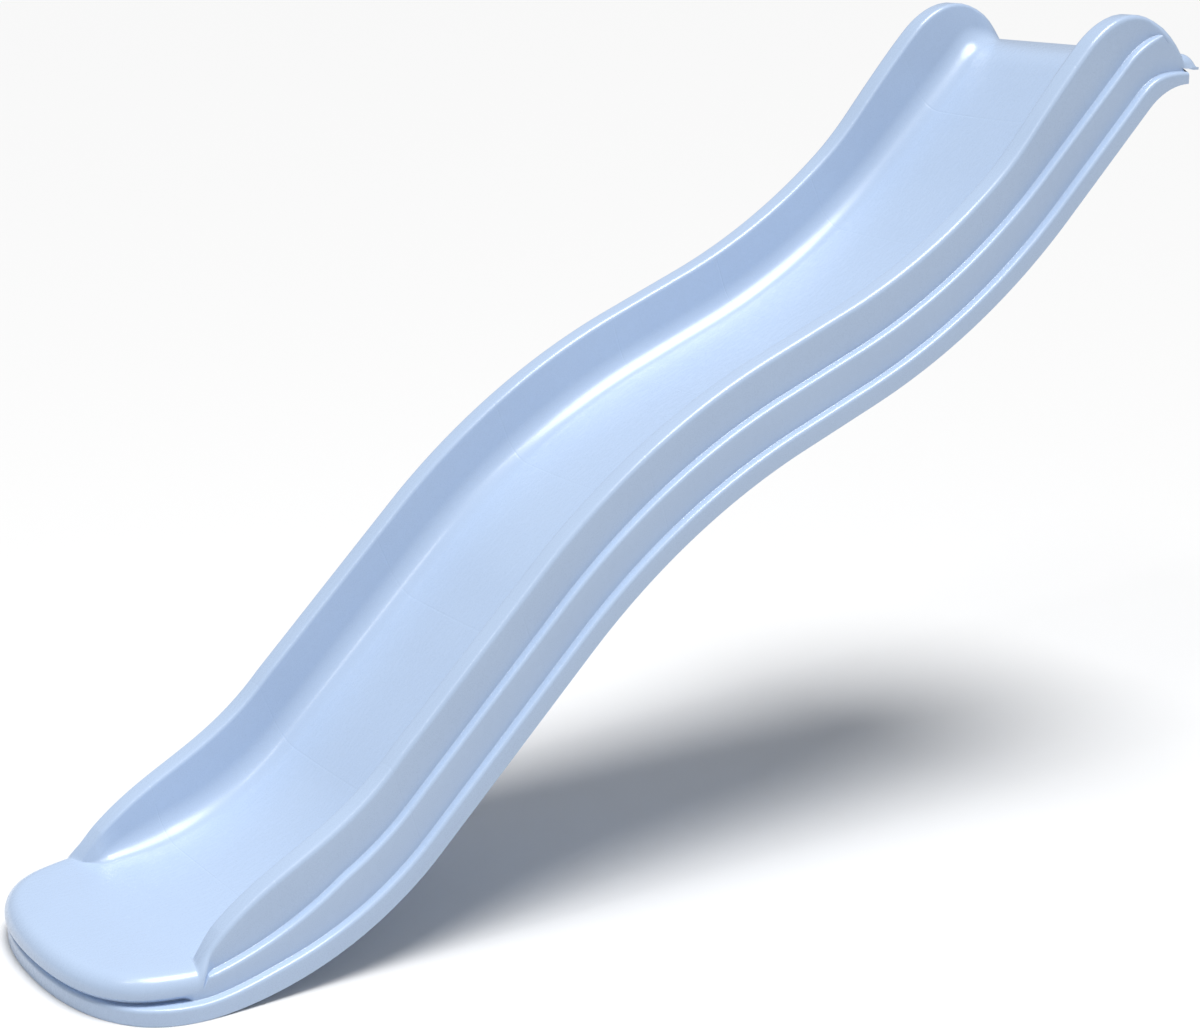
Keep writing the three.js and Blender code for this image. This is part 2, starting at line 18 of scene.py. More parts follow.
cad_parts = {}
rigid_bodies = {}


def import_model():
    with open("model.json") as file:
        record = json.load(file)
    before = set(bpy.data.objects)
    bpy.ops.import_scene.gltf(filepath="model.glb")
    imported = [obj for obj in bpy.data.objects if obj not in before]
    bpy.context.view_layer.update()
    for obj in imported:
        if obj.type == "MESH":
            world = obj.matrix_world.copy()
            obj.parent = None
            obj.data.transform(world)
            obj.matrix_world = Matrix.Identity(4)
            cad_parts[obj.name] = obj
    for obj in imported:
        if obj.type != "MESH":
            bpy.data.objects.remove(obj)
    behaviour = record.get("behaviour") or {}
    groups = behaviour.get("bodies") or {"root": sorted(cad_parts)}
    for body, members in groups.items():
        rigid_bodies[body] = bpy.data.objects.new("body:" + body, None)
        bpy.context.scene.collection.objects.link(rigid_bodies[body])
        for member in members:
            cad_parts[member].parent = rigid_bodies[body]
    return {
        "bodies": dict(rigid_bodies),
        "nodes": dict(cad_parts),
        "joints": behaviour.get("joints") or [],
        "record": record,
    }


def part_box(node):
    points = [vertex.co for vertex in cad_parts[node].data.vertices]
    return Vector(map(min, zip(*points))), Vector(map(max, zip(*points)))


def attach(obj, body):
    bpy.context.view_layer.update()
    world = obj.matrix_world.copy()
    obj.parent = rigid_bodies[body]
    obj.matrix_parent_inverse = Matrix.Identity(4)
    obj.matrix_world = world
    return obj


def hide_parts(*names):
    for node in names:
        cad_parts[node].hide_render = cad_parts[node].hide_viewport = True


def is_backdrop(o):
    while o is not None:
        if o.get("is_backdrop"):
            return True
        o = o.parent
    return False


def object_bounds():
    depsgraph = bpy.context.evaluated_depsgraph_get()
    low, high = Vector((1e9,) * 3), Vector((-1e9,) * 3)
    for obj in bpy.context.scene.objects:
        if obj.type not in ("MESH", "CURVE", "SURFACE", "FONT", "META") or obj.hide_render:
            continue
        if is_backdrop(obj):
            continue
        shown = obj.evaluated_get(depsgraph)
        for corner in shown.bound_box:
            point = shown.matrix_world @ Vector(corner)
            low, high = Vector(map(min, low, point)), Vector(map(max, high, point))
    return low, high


LOG = logging.getLogger("wave_slide")
MM = 0.001
BODY = "root"
STATION = "station"
CLEARANCE = 0.3 * MM
WELD = 0.02 * MM
SHARP_ANGLE = math.radians(32.0)
STATION_ROUNDS = 4
ROUND_STEPS = 3
ROUND_REACH = 0.45
RIB_SIDES = 10


# ---- shader maths ---------------------------------------------------------------------------


class Sock:
    """A shader socket that turns arithmetic into Math nodes."""

    def __init__(self, tree: bpy.types.NodeTree, socket: bpy.types.NodeSocket) -> None:
        """Wraps one output socket of a node tree."""
        self.tree = tree
        self.socket = socket

    def _math(self, operation: str, *values: "Sock | float") -> "Sock":
        """Adds one Math node and gives its result."""
        node = self.tree.nodes.new("ShaderNodeMath")
        node.operation = operation
        for slot, value in zip(node.inputs, values):
            if isinstance(value, Sock):
                self.tree.links.new(value.socket, slot)
            else:
                slot.default_value = value
        return Sock(self.tree, node.outputs[0])

    def __add__(self, other: "Sock | float") -> "Sock":
        """self + other."""
        return self._math("ADD", self, other)

    def __radd__(self, other: float) -> "Sock":
        """other + self."""
        return self._math("ADD", other, self)

    def __sub__(self, other: "Sock | float") -> "Sock":
        """self - other."""
        return self._math("SUBTRACT", self, other)

    def __rsub__(self, other: float) -> "Sock":
        """other - self."""
        return self._math("SUBTRACT", other, self)

    def __mul__(self, other: "Sock | float") -> "Sock":
        """self * other."""
        return self._math("MULTIPLY", self, other)

    def __rmul__(self, other: float) -> "Sock":
        """other * self."""
        return self._math("MULTIPLY", other, self)

    def pingpong(self, scale: float) -> "Sock":
        """Distance to the nearest multiple of twice the scale."""
        return self._math("PINGPONG", self, scale)

    def step(self, low: float, high: float) -> "Sock":
        """A smooth 0 to 1 as the value goes from low to high."""
        node = self.tree.nodes.new("ShaderNodeMapRange")
        node.interpolation_type = "SMOOTHSTEP"
        self.tree.links.new(self.socket, node.inputs["Value"])
        node.inputs["From Min"].default_value = low
        node.inputs["From Max"].default_value = high
        return Sock(self.tree, node.outputs["Result"])


class ShaderSheet:
    """Builds one material's nodes."""

    def __init__(self, name: str) -> None:
        """Starts an empty material with its shader and output."""
        self.material = bpy.data.materials.new(name)
        self.material.use_nodes = True
        self.tree = self.material.node_tree
        self.tree.nodes.clear()
        self.shader = self.tree.nodes.new("ShaderNodeBsdfPrincipled")
        output = self.tree.nodes.new("ShaderNodeOutputMaterial")
        self.tree.links.new(self.shader.outputs[0], output.inputs["Surface"])

    def node(self, kind: str, settings: dict | None = None, result: int | str = 0,
             **inputs: object) -> Sock:
        """Adds a node.

        Args:
            kind: the node's type.
            settings: attributes set before the sockets.
            result: which output to hand back.
            inputs: values or links of its sockets, by name with _ for a blank.

        Returns:
            The chosen output.
        """
        made = self.tree.nodes.new(kind)
        for key, value in (settings or {}).items():
            setattr(made, key, value)
        for key, value in inputs.items():
            slot = made.inputs[key.replace("_", " ")]
            if isinstance(value, Sock):
                self.tree.links.new(value.socket, slot)
            else:
                slot.default_value = value
        return Sock(self.tree, made.outputs[result])

    def place(self) -> Sock:
        """The point on the object, in metres."""
        return self.node("ShaderNodeTexCoord", result="Object")

    def noise(self, scale: float, detail: float = 3.0, seed: float = 0.0,
              stretch: tuple[float, float, float] = (1.0, 1.0, 1.0)) -> Sock:
        """A 0 to 1 noise over the object.

        Args:
            scale: how many features to a metre.
            detail: octaves.
            seed: shifts the pattern.
            stretch: scale along each axis.

        Returns:
            The noise value.
        """
        point = self.node("ShaderNodeMapping", Vector=self.place(), Scale=stretch,
                          Location=(seed, seed * 0.7, seed * 1.3))
        return self.node("ShaderNodeTexNoise", Vector=point, Scale=scale, Detail=detail)

    def mix(self, share: Sock, first: tuple, second: tuple) -> Sock:
        """The first colour at share 0, going to the second at 1."""
        made = self.tree.nodes.new("ShaderNodeMix")
        made.data_type = "RGBA"
        self.tree.links.new(share.socket, made.inputs["Factor"])
        made.inputs["A"].default_value = (*first, 1.0)
        made.inputs["B"].default_value = (*second, 1.0)
        return Sock(self.tree, made.outputs["Result"])

    def link(self, name: str, value: Sock) -> None:
        """Feeds one of the shader's sockets."""
        self.tree.links.new(value.socket, self.shader.inputs[name])

    def fix(self, **values: object) -> None:
        """Sets the shader's sockets that are the same all over."""
        for name, value in values.items():
            self.shader.inputs[name.replace("_", " ")].default_value = value

    def bump(self, height: Sock, distance: float) -> None:
        """Raises the surface by a height of 0 to 1 times distance."""
        made = self.tree.nodes.new("ShaderNodeBump")
        made.inputs["Strength"].default_value = 1.0
        made.inputs["Distance"].default_value = distance
        self.tree.links.new(height.socket, made.inputs["Height"])
        self.tree.links.new(made.outputs[0], self.shader.inputs["Normal"])


# ---- finishes -------------------------------------------------------------------------------


@dataclass(frozen=True)
class MouldedPlastic:
    """Blown polyethylene: glossy, with the mould's fine grain and a slow unevenness of the wall."""

    name: str
    colour: tuple[float, float, float]
    shade: tuple[float, float, float]
    roughness: float = 0.26
    grain: float = 0.00005
    wave: float = 0.0009
    seam: float = 0.00010
    seam_half: tuple[float, float] = (0.0004, 0.0016)
    seam_fade: tuple[float, float] = (0.02, 0.06)
    first_seam: float = 0.093
    seam_pitch: float = 0.211
    coat: float = 0.18
    coat_roughness: float = 0.12

    def build(self) -> bpy.types.Material:
        """Makes the material."""
        sheet = ShaderSheet(self.name)
        cloud = sheet.noise(5.0, detail=4.0)
        speck = sheet.noise(900.0, detail=2.0, seed=3.0)
        sheet.link("Base Color", sheet.mix(cloud.step(0.3, 0.7), self.colour, self.shade))
        scuff = sheet.noise(55.0, detail=6.0, seed=8.0, stretch=(3.0, 1.0, 1.0)).step(0.52, 0.74)
        sheet.link("Roughness", self.roughness + 0.03 * speck + 0.015 * scuff)
        slow = sheet.noise(9.0, detail=1.0, seed=5.0)
        station = sheet.node("ShaderNodeAttribute", {"attribute_name": STATION}, result="Fac")
        away = (station - self.first_seam).pingpong(self.seam_pitch / 2)
        seam = (1.0 - away.step(*self.seam_half)) * station.step(*self.seam_fade)
        relief = slow + speck * (self.grain / self.wave) - seam * (self.seam / self.wave)
        sheet.bump(relief, self.wave)
        sheet.fix(IOR=1.5, Coat_Weight=self.coat, Coat_Roughness=self.coat_roughness)
        return sheet.material


@dataclass(frozen=True)
class FittingPlastic:
    """Injection-moulded nylon or polyethylene with a fine spark-eroded grain."""

    name: str
    colour: tuple[float, float, float]
    roughness: float = 0.45

    def build(self) -> bpy.types.Material:
        """Makes the material."""
        sheet = ShaderSheet(self.name)
        cloud = sheet.noise(60.0, detail=3.0)
        paler = tuple(min(1.0, value * 1.25 + 0.01) for value in self.colour)
        sheet.link("Base Color", sheet.mix(cloud.step(0.35, 0.75), self.colour, paler))
        grain = sheet.noise(2600.0, detail=2.0, seed=2.0)
        sheet.link("Roughness", self.roughness + 0.12 * grain)
        sheet.bump(grain, 0.00012)
        return sheet.material


@dataclass(frozen=True)
class SealRubber:
    """Black moulded rubber with a dusty bloom."""

    name: str
    colour: tuple[float, float, float] = (0.018, 0.018, 0.02)

    def build(self) -> bpy.types.Material:
        """Makes the material."""
        sheet = ShaderSheet(self.name)
        bloom = sheet.noise(160.0, detail=5.0)
        sheet.link("Base Color", sheet.mix(bloom.step(0.45, 0.8), self.colour, (0.07, 0.07, 0.072)))
        sheet.link("Roughness", 0.62 + 0.25 * bloom)
        sheet.bump(sheet.noise(1800.0, detail=2.0), 0.0001)
        return sheet.material


@dataclass(frozen=True)
class PlatedMetal:
    """Turned or cold-headed metal with faint tool marks and dulled patches."""

    name: str
    colour: tuple[float, float, float]
    dull: tuple[float, float, float]
    roughness: float = 0.26

    def build(self) -> bpy.types.Material:
        """Makes the material."""
        sheet = ShaderSheet(self.name)
        patch = sheet.noise(240.0, detail=5.0)
        sheet.link("Base Color", sheet.mix(patch.step(0.4, 0.75), self.colour, self.dull))
        sheet.link("Roughness", self.roughness + 0.22 * patch)
        sheet.bump(sheet.noise(900.0, detail=2.0, stretch=(1.0, 9.0, 1.0)), 0.00005)
        sheet.fix(Metallic=1.0)
        return sheet.material


class Finish(Enum):
    """The record's material slots and the finish of each."""

    BLUE = ("blue_plastic",
            MouldedPlastic("pastel_blue_moulding", (0.475, 0.60, 0.80), (0.462, 0.585, 0.785)))
    GREY = ("grey_plastic", FittingPlastic("grey_nylon", (0.045, 0.05, 0.055)))
    WHITE = ("white_plastic", FittingPlastic("milky_tube", (0.7, 0.73, 0.75), 0.35))
    RUBBER = ("seal_rubber", SealRubber("black_seal"))
    BRASS = ("insert_brass", PlatedMetal("insert_brass", (0.74, 0.52, 0.22), (0.5, 0.34, 0.14)))
    ZINC = ("zinc_steel", PlatedMetal("zinc_plate", (0.72, 0.73, 0.75), (0.5, 0.51, 0.52)))


class Paint:
    """Makes each finish once and dresses pieces with it."""

    def __init__(self) -> None:
        """Starts with no material made."""
        self.made: dict[Finish, bpy.types.Material] = {}

    def material(self, finish: Finish) -> bpy.types.Material:
        """The finish's material, made at its first use."""
        if finish not in self.made:
            self.made[finish] = finish.value[1].build()
        return self.made[finish]

    def dress(self, piece: bpy.types.Object, finish: Finish) -> None:
        """Puts a finish on a piece."""
        piece.data.materials.clear()
        piece.data.materials.append(self.material(finish))


# ---- the wave and the cross-section ----------------------------------------------------------


@dataclass(frozen=True)
class Wave:
    """The line of the base edge in side view: a chain of level, arc and straight lengths."""

    foot_radius: float = 539 * MM
    steep: float = math.radians(44)
    lower_run: float = 355 * MM
    crest_radius: float = 1140 * MM
    mild: float = math.radians(21)
    mild_run: float = 146 * MM
    dip_radius: float = 1170 * MM
    upper_run: float = 237 * MM
    shoulder_radius: float = 125 * MM
    level_foot: float = 55 * MM

    def chain(self) -> list[tuple[float, float, float, float, float]]:
        """The lengths as (start y, start z, radius or 0, first slope, last slope), then the end."""
        lengths = [
            (self.foot_radius, 0.0, self.steep, 0.0),
            (0.0, self.steep, self.steep, self.lower_run),
            (self.crest_radius, self.steep, self.mild, 0.0),
            (0.0, self.mild, self.mild, self.mild_run),
            (self.dip_radius, self.mild, self.steep, 0.0),
            (0.0, self.steep, self.steep, self.upper_run),
            (self.shoulder_radius, self.steep, 0.0, 0.0),
        ]
        y, z, made = -self.level_foot, 0.0, []
        for radius, first, last, run in lengths:
            made.append((y, z, radius, first, last))
            bend = np.sign(last - first)
            y += bend * radius * (math.sin(last) - math.sin(first)) + run * math.cos(first)
            z += bend * radius * (math.cos(first) - math.cos(last)) + run * math.sin(first)
        return [*made, (y, z, 0.0, 0.0, 0.0)]

    @property
    def rear(self) -> float:
        """Distance along Y at which the body ends."""
        return self.chain()[-1][0]

    @property
    def top(self) -> float:
        """Height of the base edge at the rear."""
        return self.chain()[-1][1]

    @property
    def shoulder(self) -> float:
        """Where the last arc starts."""
        return self.chain()[-2][0]

    def at(self, y: np.ndarray) -> tuple[np.ndarray, np.ndarray]:
        """Heights of the base edge, and its slopes in radians, at distances along the slide."""
        height, slope = np.zeros_like(y), np.zeros_like(y)
        for start, z, radius, first, last in self.chain():
            here = y >= start
            away = y - start
            if radius:
                bend = np.sign(last - first)
                sine = np.clip(math.sin(first) + bend * away / radius, -1.0, 1.0)
                angle = np.arcsin(sine)
                rise = bend * radius * (math.cos(first) - np.cos(angle))
            else:
                angle = np.full_like(y, first)
                rise = away * math.tan(first)
            height = np.where(here, z + rise, height)
            slope = np.where(here, angle, slope)
        return height, slope


def smooth(share: np.ndarray | float) -> np.ndarray:
    """Smooth step from 0 to 1."""
    share = np.clip(share, 0.0, 1.0)
    return share * share * (3.0 - 2.0 * share)


def mix(first: float, second: float, share: float) -> float:
    """The value between first and second at a share."""
    return first + (second - first) * share


def arc(x: float, h: float, radius: float, first: float, last: float, steps: int) -> list[tuple]:
    """Points on an arc, its angles in degrees, both ends included."""
    angles = np.radians(np.linspace(first, last, steps + 1))
    return [(x + radius * math.cos(a), h + radius * math.sin(a)) for a in angles]


@dataclass
class Moulding:
    """The slide's blown body: bed, side walls, humps, ledges, nose and hooked lip."""

    wave: Wave = field(default_factory=Wave)
    lean: float = 0.4
    width: float = 510 * MM
    step: float = 15 * MM
    lower_ledge: float = 31 * MM
    rear_ledge: float = 19 * MM
    upper_ledge: float = 86 * MM
    corner_ledge: float = 52 * MM
    ledge_rise: float = 240 * MM
    ledge_fade: float = 18 * MM
    rim_clearance: float = 3 * MM
    full_depth: float = 60 * MM
    edge_radius: float = 6 * MM
    corner_radius: float = 1.5 * MM
    wall_top: float = 150 * MM
    ear_top: float = 166 * MM
    rim_radius: float = 9 * MM
    rim_flat: float = 21 * MM
    wall_slope: float = math.radians(14)
    end_slope: float = math.radians(50)
    bed_radius: float = 52 * MM
    bed_height: float = 58 * MM
    bed_sag: float = 2.5 * MM
    lip_height: float = 45 * MM
    skin: float = 4 * MM
    nose_length: float = 195 * MM
    nose_bluntness: float = 3.0
    nose_squareness: float = 2.2
    nose_radius: float = 25 * MM
    nose_undercut: float = 10 * MM
    nose_ledge: float = 24 * MM
    tip_ledge: float = 7 * MM
    tip_fade: float = 100 * MM
    nose_top: float = 62 * MM
    wall_end: float = 46 * MM
    wall_rise: float = 300 * MM
    wall_sweep: float = 3.5
    band_end: float = 70 * MM
    band_fade: float = 16 * MM
    ear_rise: float = 200 * MM
    ear_fall: float = 150 * MM
    ear_end: float = 6 * MM
    lip_flat: float = 18 * MM
    hook_radius: float = 20 * MM
    hook_drop: float = 1 * MM
    inner_share: float = 0.35
    fillet_share: float = 0.65
    band_lean: float = 0.6
    spacing: float = 10 * MM
    side_rays: int = 30
    front_rays: int = 22
    foot_rows: int = 12
    lip_spans: int = 3
    hook_spans: int = 8
    edge_steps: int = 6
    corner_steps: int = 3
    rim_steps: int = 8
    fillet_steps: int = 12
    bed_steps: int = 12

    def __post_init__(self) -> None:
        """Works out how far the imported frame's origin lies from the foot's turn."""
        lip_end = self.wave.rear + self.lip_flat + self.hook_radius
        self.shift = -(lip_end - self.nose_length) / 2

    # -- heights that change along the slide

    def wall_height(self, y: float) -> float:
        """Height of the rim over the base edge."""
        foot = min(max((y + self.wall_end) / self.wall_rise, 0.0), 1.0)
        climb = 1.0 - (1.0 - foot) ** self.wall_sweep
        low = self.nose_top + (self.wall_top - self.nose_top) * climb
        ear = self.wave.rear + self.ear_end - self.ear_fall
        swell = (self.ear_top - self.wall_top) * smooth((y - ear + self.ear_rise) / self.ear_rise)
        fall = min(max((y - ear) / self.ear_fall, 0.0), 1.0) ** 2
        return float(low + swell - (self.ear_top - self.lip_height) * fall)

    def bed_at(self, y: float) -> float:
        """Height of the bed over the base edge."""
        foot = smooth(y / self.wall_rise)
        top = smooth((y - self.wave.shoulder) / (self.wave.rear - self.wave.shoulder))
        return float(mix(mix(self.nose_top, self.bed_height, foot), self.lip_height, top))

    def ledge_at(self, y: float) -> float:
        """Height of the lower ledge over the base edge."""
        rear = smooth((y - self.wave.shoulder) / (self.wave.rear - self.wave.shoulder))
        foot = smooth((y + self.wave.level_foot) / (2 * self.band_end))
        return float(mix(mix(self.nose_ledge, self.lower_ledge, foot), self.rear_ledge, rear))

    def half_section(self, y: float) -> list[tuple[float, float]]:
        """Half of the section from the bottom edge, over the rim, to the bed's middle.

        Args:
            y: where along the slide.

        Returns:
            Points as distance from the middle and height over the base edge.
        """
        wall, bed, lower = self.wall_height(y), self.bed_at(y), self.ledge_at(y)
        wall = max(wall, bed)
        depth = wall - bed
        side = float(smooth(depth / self.full_depth))
        in_nose = 1.0 - float(smooth((y + self.band_end) / self.band_fade))
        at_tip = float(smooth((-self.band_end - y) / self.tip_fade))
        undercut = self.nose_undercut * in_nose
        outer = self.width / 2
        crease = outer - mix(self.step + undercut, self.tip_ledge, at_tip)
        middle = crease + undercut
        climbed = min(max((y + self.wall_end) / self.ledge_rise, 0.0), 1.0)
        highest = mix(self.corner_ledge, self.upper_ledge, climbed)
        over = wall - highest - self.rim_radius - self.rim_clearance
        ledge = float(smooth(over / self.ledge_fade))
        rim = mix(self.nose_radius, self.rim_radius, ledge)
        upper = middle - self.step * ledge
        upper_ledge = min(highest, wall - rim - self.rim_clearance)
        edge, corner = self.edge_radius, self.corner_radius
        top_edge, top_corner = edge * ledge, corner * ledge
        inner = min(rim, self.inner_share * depth)
        centre = self.width / 2 - 2 * self.step - self.rim_radius - self.rim_flat
        fillet = min(self.bed_radius, self.fillet_share * depth)
        lean = mix(self.end_slope, self.wall_slope, side)
        sine, cosine = math.sin(lean), math.cos(lean)
        drop = wall - inner + inner * sine - bed - fillet * (1 - sine)
        toe = centre - inner * cosine - drop * math.tan(lean) - fillet * cosine
        slope = math.degrees(lean)
        sag = self.bed_sag * float(smooth(y / self.wall_rise) * smooth(depth / self.full_depth))
        shares = np.linspace(1.0, 0.0, self.bed_steps + 1)[1:]
        bed_line = [(toe * t, bed - sag * (1 - t * t)) for t in shares]
        round_edge, round_corner = self.edge_steps, self.corner_steps
        return [
            (outer, 0.0),
            (outer, 0.5 * (lower - edge)),
            *arc(outer - edge, lower - edge, edge, 0, 90, round_edge),
            *arc(crease + corner, lower + corner, corner, 270, 180, round_corner),
            (mix(crease, middle, self.band_lean), mix(lower, upper_ledge, 0.5)),
            *arc(middle - top_edge, upper_ledge - top_edge, top_edge, 0, 90, round_edge),
            *arc(upper + top_corner, upper_ledge + top_corner, top_corner, 270, 180,
                 round_corner),
            (upper, 0.5 * (upper_ledge + wall - rim)),
            *arc(upper - rim, wall - rim, rim, 0, 90, self.rim_steps),
            *arc(centre, wall - inner, inner, 90, 180 - slope, self.rim_steps),
            *arc(toe, bed + fillet, fillet, -slope, -90, self.fillet_steps),
            *bed_line,
        ]

    def place(self, x: np.ndarray, y: np.ndarray, h: np.ndarray) -> np.ndarray:
        """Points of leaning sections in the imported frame.

        Args:
            x: distances from the middle.
            y: where each point's section stands.
            h: heights up the section.

        Returns:
            An array of points.
        """
        z, slope = self.wave.at(y)
        tilt = self.lean * slope
        return np.stack([x, y - h * np.sin(tilt) + self.shift, z + h * np.cos(tilt)], axis=-1)

    # -- rows of the surface

    def side_row(self, y: float) -> np.ndarray:
        """One drawn section of the right side."""
        x, h = np.array(self.half_section(y)).T
        return self.place(x, np.full_like(x, y), h)

    def stations(self, points: np.ndarray) -> np.ndarray:
        """Where the leaning section through each point stands, along the slide."""
        y = points[:, 1] - self.shift
        place = y.copy()
        for _ in range(STATION_ROUNDS):
            base, slope = self.wave.at(place)
            place = y + (points[:, 2] - base) * np.tan(self.lean * slope)
        return place

    def nose_row(self, turn: float) -> np.ndarray:
        """One ray of the nose, turned round the middle of the foot on a blunt oval."""
        across = math.copysign(abs(math.cos(turn)) ** (2 / self.nose_squareness), math.cos(turn))
        forward = math.sin(turn) ** (2 / self.nose_bluntness)
        half = self.width / 2
        widest = half - self.tip_ledge + self.nose_undercut
        power = widest / self.nose_length
        rim_y = -self.nose_length * ((half - self.step) / widest) ** power * forward
        x, h = np.array(self.half_section(rim_y)).T
        y = -self.nose_length * (x / widest) ** power * forward
        return self.place(x * across, y, h)

    def nose_turns(self) -> list[float]:
        """Turns of the nose's rays: even steps along its sides, even turns in front."""
        shares = np.linspace(0.0, 0.5, self.side_rays + 1)[1:]
        sides = np.arcsin(shares ** (self.nose_bluntness / 2))
        front = np.linspace(sides[-1], math.pi / 2, self.front_rays)[1:]
        quarter = [*sides, *front]
        return [*quarter, *(math.pi - turn for turn in reversed(quarter[:-1]))]

    def lip_rows(self) -> list[np.ndarray]:
        """Rows behind the body: its square end, the level lip and the hook's round end."""
        rear, low = self.wave.rear, self.lip_height - self.hook_radius - self.hook_drop
        rows = []
        for y in [rear, *np.linspace(rear, rear + self.lip_flat, self.lip_spans + 1)[1:]]:
            x, h = np.array(self.half_section(y)).T
            inside = self.width / 2 - self.step
            cut = np.clip(h, low, None)
            x = np.where(h < low, np.minimum(x, inside), x)
            rows.append(self.place(x, np.full_like(x, y), cut))
        last_x, last_h = x, cut
        for angle in np.radians(np.linspace(0, 90, self.hook_spans + 1)[1:]):
            fall = self.hook_radius * (1 - math.cos(angle))
            top = self.lip_height - fall
            h = np.minimum(last_h, np.maximum(last_h - fall, low))
            h = np.minimum(h, top)
            y = rear + self.lip_flat + self.hook_radius * math.sin(angle)
            rows.append(self.place(last_x, np.full_like(h, y), np.maximum(h, low)))
        rows.append(self.place(last_x, np.full_like(h, y), np.full_like(h, low)))
        return rows

    def rows(self) -> np.ndarray:
        """All rows, up the right side's length, round the nose and back up the left."""
        count = round(self.wave.rear / self.spacing)
        close = np.linspace(0, 1, self.foot_rows + 2)[1:-1] ** 2 * self.wave.rear / count
        ys = np.unique(np.concatenate([np.linspace(0, self.wave.rear, count + 1), close]))
        side = [self.side_row(y) for y in ys] + self.lip_rows()
        nose = [self.nose_row(turn) for turn in self.nose_turns()]
        mirror = [row * np.array([-1.0, 1.0, 1.0]) for row in side]
        return np.array([*side[::-1], *nose, *mirror])

    def rear_wall(self) -> tuple[list[tuple], list[tuple]]:
        """The closing wall under the lip, as points and faces of a T-shaped plate."""
        low, ledge, high = 0.0, self.rear_ledge - self.skin / 2, self.lip_height - self.skin / 2
        wide = self.width / 2 - self.skin / 2
        narrow = wide - self.step
        outline = [(-wide, low), (wide, low), (wide, ledge), (narrow, ledge), (narrow, high),
                   (-narrow, high), (-narrow, ledge), (-wide, ledge)]
        back = self.wave.rear + self.shift - CLEARANCE
        points = [(x, y, self.wave.top + h) for y in (back, back - self.skin) for x, h in outline]
        n = len(outline)
        faces = [tuple(reversed(range(n))), tuple(range(n, 2 * n))]
        faces += [(i, (i + 1) % n, (i + 1) % n + n, i + n) for i in range(n)]
        return points, faces

    def build(self) -> bpy.types.Object:
        """Makes the shell with its rear wall, and notes each point's station."""
        piece = grid_piece("slide_moulding", self.rows())
        face_up(piece)
        thicken(piece, self.skin)
        points, faces = self.rear_wall()
        plate = mesh_piece("rear_wall", points, faces)
        join(piece, [plate])
        spots = np.empty(len(piece.data.vertices) * 3)
        piece.data.vertices.foreach_get("co", spots)
        layer = piece.data.attributes.new(STATION, "FLOAT", "POINT")
        layer.data.foreach_set("value", self.stations(spots.reshape(-1, 3)))
        return piece


# ---- mesh helpers ---------------------------------------------------------------------------


def mesh_piece(name: str, points: Sequence, faces: Sequence) -> bpy.types.Object:
    """Makes a mesh object at the origin from points and each face's point numbers."""
    mesh = bpy.data.meshes.new(name)
    corners = [tuple(map(float, point)) for point in points]
    mesh.from_pydata(corners, [], [tuple(map(int, face)) for face in faces])
    mesh.validate()
    made = bpy.data.objects.new(name, mesh)
    bpy.context.scene.collection.objects.link(made)
    return made


def weld(piece: bpy.types.Object, distance: float) -> None:
    """Merges doubled points and turns the faces outwards."""
    work = bmesh.new()
    work.from_mesh(piece.data)
    bmesh.ops.remove_doubles(work, verts=work.verts, dist=distance)
    bmesh.ops.dissolve_degenerate(work, edges=work.edges, dist=distance)
    bmesh.ops.recalc_face_normals(work, faces=work.faces)
    work.to_mesh(piece.data)
    work.free()


def shade(piece: bpy.types.Object) -> None:
    """Shades smooth, with the sharpest edges kept."""
    piece.data.shade_smooth()
    piece.data.set_sharp_from_angle(angle=SHARP_ANGLE)


def grid_piece(name: str, rows: np.ndarray) -> bpy.types.Object:
    """A surface through rows of points, doubled points merged and faces outwards."""
    count, width = rows.shape[:2]
    index = np.arange(count * width).reshape(count, width)
    corners = [index[:-1, :-1], index[:-1, 1:], index[1:, 1:], index[1:, :-1]]
    faces = np.stack(corners, axis=-1).reshape(-1, 4)
    piece = mesh_piece(name, rows.reshape(-1, 3), faces)
    weld(piece, WELD)
    return piece


def apply_modifiers(piece: bpy.types.Object) -> None:
    """Turns a piece's modifiers into its own mesh and removes them."""
    graph = bpy.context.evaluated_depsgraph_get()
    mesh = bpy.data.meshes.new_from_object(piece.evaluated_get(graph))
    piece.modifiers.clear()
    piece.data = mesh
    mesh.name = piece.name


def face_up(piece: bpy.types.Object) -> None:
    """Turns an open surface's faces so that most of them look up."""
    total = sum(face.normal.z * face.area for face in piece.data.polygons)
    if total < 0:
        piece.data.flip_normals()


def thicken(piece: bpy.types.Object, skin: float) -> None:
    """Gives a surface its wall, on the side its faces look away from."""
    wall = piece.modifiers.new("wall", "SOLIDIFY")
    wall.thickness = skin
    wall.offset = -1.0
    apply_modifiers(piece)


def join(piece: bpy.types.Object, others: Sequence[bpy.types.Object]) -> None:
    """Joins other pieces into the first one's mesh."""
    work = bmesh.new()
    for item in (piece, *others):
        work.from_mesh(item.data)
    work.to_mesh(piece.data)
    work.free()
    for item in others:
        bpy.data.objects.remove(item)


